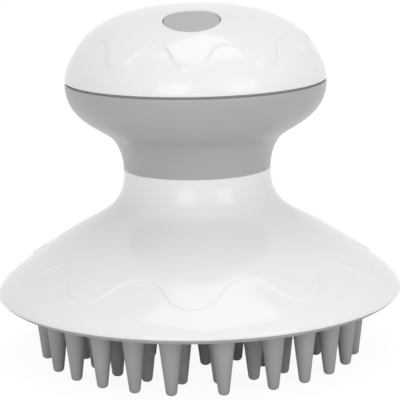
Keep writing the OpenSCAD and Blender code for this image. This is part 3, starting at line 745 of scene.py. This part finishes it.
def make_skirt():
    """White skirt: plain below a wavy edge, raised above it, and running out under the neck."""

    def radius_of(a, inwards):
        return wave_r(SKIRT_WAVE, a) - inwards * wave_slant(SKIRT_WAVE, a)

    def outer(a, t, proud):
        p = on_curve(SKIRT_LOW, t, proud)
        return plan(p.x, a, p.y)

    first = t_at(SKIRT_LOW, 0, RIM_R - FOOT_INSET)

    def plain(share):
        def ring(a):
            last = t_at(SKIRT_LOW, 0, radius_of(a, STEP_EDGE[0][0]))
            return outer(a, first + (last - first) * share, 0)

        return ring

    def field_edge(inwards, rise):
        return lambda a: outer(
            a, t_at(SKIRT_LOW, 0, radius_of(a, inwards)), SKIRT_RELIEF * rise
        )

    def field(share):
        def ring(a):
            start = t_at(SKIRT_LOW, 0, radius_of(a, STEP_EDGE[-1][0]))
            return outer(a, start + (1 - start) * share, SKIRT_RELIEF)

        return ring

    def upper(t):
        p = on_curve(SKIRT_HIGH, t, SKIRT_RELIEF * (1 - smooth(t / 0.55)))
        return lambda a: plan(p.x, a, p.y)

    low = RIM_Z - RIM_LIP
    rings = [
        lambda a: plan(SEAT_R, a, RIM_Z),
        lambda a: plan(PAD_FLANGE_R + PAD_GAP, a, RIM_Z),
        lambda a: plan(PAD_FLANGE_R + PAD_GAP_LOW, a, low),
        lambda a: plan(RIM_R - RIM_EDGE - RIM_INSET, a, low),
    ]
    rings += lip_rings(on_curve(SKIRT_LOW, first).x, low, RIM_EDGE, 27)
    rings += [plain(k / 14) for k in range(14)]
    rings += [field_edge(*step) for step in STEP_EDGE]
    rings += [field(k / 8) for k in range(1, 9)]
    rings += [upper(k / 22) for k in range(1, 22)]

    inside = [
        Vector((NECK_R, NECK_Z - NECK_EDGE)),
        Vector((NECK_R - NECK_EDGE, NECK_Z)),
        Vector((SOCKET_R, NECK_Z)),
        Vector((SOCKET_R, SOCKET_Z)),
        Vector((SOCKET_BORE_R, SOCKET_Z)),
        Vector((SOCKET_BORE_R, SOCKET_LOW)),
        Vector((SOCKET_OUTER_R, SOCKET_LOW)),
    ]
    inside += curve_points(SKIRT_HIGH, 12, -WALL, 0.0, 0.8)[::-1]
    inside += curve_points(SKIRT_LOW, 8, -WALL, 0.4)[::-1][1:]
    inside += [Vector((SEAT_R, PLATE_TOP))]
    rings += [lambda a, p=p: plan(p.x, a, p.y) for p in inside]
    bm = tidy(skin(rings + rings[:1], SHELL_STEPS))
    return piece("skirt_shell", bm, "housing", ["skirt"], "white_shell")


# ------------------------------------------------------------------ pad and prongs


def prong_places():
    """Radius and turn of every prong: single ones and groups of five, then three even rings."""
    singles = [90 * q for q in range(4)]
    groups = [90 * q + 45 + 13.4 * k for q in range(4) for k in range(-2, 3)]
    rings = [
        (39.9, singles + groups),
        (30.4, [360 / 21 * k + 0.4 for k in range(21)]),
        (22.5, [60 * k + 36 for k in range(6)]),
        (14, [36 * k - 3 for k in range(10)]),
    ]
    return [(radius, math.radians(turn + PAD_TURN)) for radius, turns in rings for turn in turns]


def prong_outline():
    """Half outline of a prong: rounded tip, tapering shank, and a fillet into the pad's face."""
    lean = math.atan((PRONG_ROOT_R - PRONG_FLAT_R - PRONG_TIP_R) / PAD_FACE_Z)
    tip = []
    for k in range(7):
        a = (math.pi / 2 - lean) * k / 6
        tip.append((PRONG_FLAT_R + PRONG_TIP_R * math.sin(a), PRONG_TIP_R * (1 - math.cos(a))))
    shank_r = PRONG_ROOT_R - PRONG_DRAFT
    start, end = Vector(tip[-1]), Vector((shank_r, PAD_FACE_Z - PRONG_FILLET))
    shank = [start.lerp(end, k / 4) for k in range(1, 5)]
    root = [
        (shank_r + PRONG_FILLET * (1 - math.cos(a)), PAD_FACE_Z - PRONG_FILLET * (1 - math.sin(a)))
        for a in (math.radians(22.5 * k) for k in range(1, 5))
    ]
    sunk = PAD_FACE_Z + PRONG_SUNK
    return [(0, 0)] + tip + [(p.x, p.y) for p in shank] + root + [(root[-1][0], sunk), (0, sunk)]


def make_pad():
    """Soft pad with its flange, its prongs below, and the studs above that hold it."""
    outline = [
        (0, PAD_FACE_Z),
        (PAD_FACE_R, PAD_FACE_Z),
        (PAD_FACE_R, PAD_Z),
        (PAD_FLANGE_R, PAD_Z),
        (PAD_FLANGE_R, RIM_Z),
        (PLATE_R, RIM_Z),
        (PLATE_R, PLATE_Z),
        (0, PLATE_Z),
    ]
    bm = turned(rounded(outline, {1: 0.3, 3: 0.12, 4: 0.05}), PAD_STEPS, closed=False)
    prong = prong_outline()
    for radius, turn in prong_places():
        at = Matrix.Translation(plan(radius, turn, 0) * MM)
        add_to(bm, turned(prong, PRONG_STEPS, closed=False, at=at))
    stud = [
        (0, PLATE_Z - STUD_SUNK),
        (STUD_R, PLATE_Z - STUD_SUNK),
        (STUD_R, PLATE_TOP + STUD_CLEAR),
        (STUD_HEAD_R, PLATE_TOP + STUD_CLEAR),
        (STUD_TIP_R, PLATE_TOP + STUD_TOP),
        (0, PLATE_TOP + STUD_TOP),
    ]
    for k in range(STUDS):
        turn = math.radians(22.5 + 45 * k)
        at = Matrix.Translation(plan(STUD_AT_R, turn, 0) * MM)
        add_to(bm, turned(stud, PRONG_STEPS, closed=False, at=at))
    return piece("prong_pad", bm, "housing", ["bristle_pad"], "soft_prongs")


# ------------------------------------------------------------------ studio and camera

# Soft boxes: name, place, what it is aimed at, width and height in metres, power in watts
LAMPS = [
    ("top_box", (0.07, -0.09, 1.05), (0.0, -0.03, 0.05), (0.76, 0.68), 2.6),
    ("front_wide_box", (0.3, -1.15, 0.36), (0, 0, 0.05), (1.4, 0.8), 1.4),
    ("front_left_box", (-0.35, -1.12, 0.36), (0, 0, 0.05), (0.55, 0.75), 2.2),
    ("front_right_box", (0.83, -0.83, 0.36), (0, 0, 0.05), (0.5, 0.75), 1.8),
]

# Light of the white room, and how much of the floor shows as glowing white instead of lit
ROOM_STRENGTH = 0.565
FLOOR_LEVEL, FLOOR_GLOW, FLOOR_GLOW_SHARE = 0.9, 1.06, 0.88

# Camera: its distance and height in mm, its angles in degrees, its focal length in pixels
CAMERA_AWAY, CAMERA_UP, CAMERA_SIDE = 468, 137, 2.3
CAMERA_SWING, CAMERA_DIP, CAMERA_ROLL = 0.0662, 11.736, -1.13
SENSOR_WIDTH, PICTURE_WIDTH, FOCAL_PIXELS = 36, 400, 1860


def make_lamp(name, place, aim, size, power):
    lamp = bpy.data.lights.new(name, "AREA")
    lamp.shape = "RECTANGLE"
    lamp.size, lamp.size_y = size
    lamp.energy = power
    obj = bpy.data.objects.new(name, lamp)
    obj.location = place
    obj.rotation_euler = (Vector(aim) - Vector(place)).to_track_quat("-Z", "Y").to_euler()
    bpy.context.scene.collection.objects.link(obj)


def seen_white(tree):
    """1 where the background is looked at straight, in a reflection or through glass."""
    path = tree.nodes.new("ShaderNodeLightPath")
    total = path.outputs["Is Camera Ray"]
    for other in ("Is Glossy Ray", "Is Transmission Ray"):
        add = tree.nodes.new("ShaderNodeMath")
        add.operation = "ADD"
        add.use_clamp = True
        tree.links.new(total, add.inputs[0])
        tree.links.new(path.outputs[other], add.inputs[1])
        total = add.outputs[0]
    return total


def make_floor():
    """Plain pale floor that keeps the object's shadow and runs out into the white backdrop."""
    bm = bmesh.new()
    bmesh.ops.create_circle(bm, segments=64, radius=4, cap_ends=True)
    mesh = bpy.data.meshes.new("studio_floor")
    bm.to_mesh(mesh)
    bm.free()
    material = bpy.data.materials.new("studio_floor")
    material.use_nodes = True
    tree = material.node_tree
    shader = tree.nodes["Principled BSDF"]
    shader.inputs["Base Color"].default_value = (FLOOR_LEVEL, FLOOR_LEVEL, FLOOR_LEVEL, 1)
    shader.inputs["Roughness"].default_value = 0.9
    glow = tree.nodes.new("ShaderNodeEmission")
    glow.inputs["Strength"].default_value = FLOOR_GLOW
    share = tree.nodes.new("ShaderNodeMath")
    share.operation = "MULTIPLY"
    share.inputs[1].default_value = FLOOR_GLOW_SHARE
    tree.links.new(seen_white(tree), share.inputs[0])
    mix = tree.nodes.new("ShaderNodeMixShader")
    tree.links.new(share.outputs[0], mix.inputs["Fac"])
    tree.links.new(shader.outputs[0], mix.inputs[1])
    tree.links.new(glow.outputs[0], mix.inputs[2])
    tree.links.new(mix.outputs[0], tree.nodes["Material Output"].inputs["Surface"])
    mesh.materials.append(material)
    floor = bpy.data.objects.new("studio_floor", mesh)
    bpy.context.scene.collection.objects.link(floor)


def make_world():
    """A white room: dimmer as a light than it looks as a backdrop."""
    world = bpy.data.worlds.new("studio")
    bpy.context.scene.world = world
    world.use_nodes = True
    tree = world.node_tree
    room = tree.nodes["Background"]
    room.inputs["Color"].default_value = (1, 1, 1, 1)
    room.inputs["Strength"].default_value = ROOM_STRENGTH
    white = tree.nodes.new("ShaderNodeBackground")
    white.inputs["Strength"].default_value = 1.0
    white.inputs["Color"].default_value = (1, 1, 1, 1)
    mix = tree.nodes.new("ShaderNodeMixShader")
    tree.links.new(seen_white(tree), mix.inputs["Fac"])
    tree.links.new(room.outputs[0], mix.inputs[1])
    tree.links.new(white.outputs[0], mix.inputs[2])
    tree.links.new(mix.outputs[0], tree.nodes["World Output"].inputs["Surface"])


def make_camera():
    camera = bpy.data.cameras.new("camera")
    camera.sensor_width = SENSOR_WIDTH
    camera.lens = SENSOR_WIDTH * FOCAL_PIXELS / PICTURE_WIDTH
    camera.clip_start, camera.clip_end = 0.05, 20
    obj = bpy.data.objects.new("camera", camera)
    bpy.context.scene.collection.objects.link(obj)
    place = plan(CAMERA_AWAY, math.radians(CAMERA_SIDE), CAMERA_UP) * MM
    obj.matrix_world = (
        Matrix.Translation(place)
        @ Matrix.Rotation(math.radians(CAMERA_SIDE - CAMERA_SWING), 4, "Z")
        @ Matrix.Rotation(math.radians(90 - CAMERA_DIP), 4, "X")
        @ Matrix.Rotation(math.radians(CAMERA_ROLL), 4, "Z")
    )
    bpy.context.scene.camera = obj


# ------------------------------------------------------------------ the object

make_cap()
make_button()
make_seam_strip()
make_handle()
make_port_plug()
make_skirt()
make_pad()

for part in frame["record"]["subparts"]:
    node = NODES[part["node"]]
    node.data.materials.clear()
    node.data.materials.append(FINISHES[part["material_slot"]])

make_world()
make_floor()
for row in LAMPS:
    make_lamp(*row)
make_camera()
bpy.context.scene.view_settings.view_transform = "Standard"
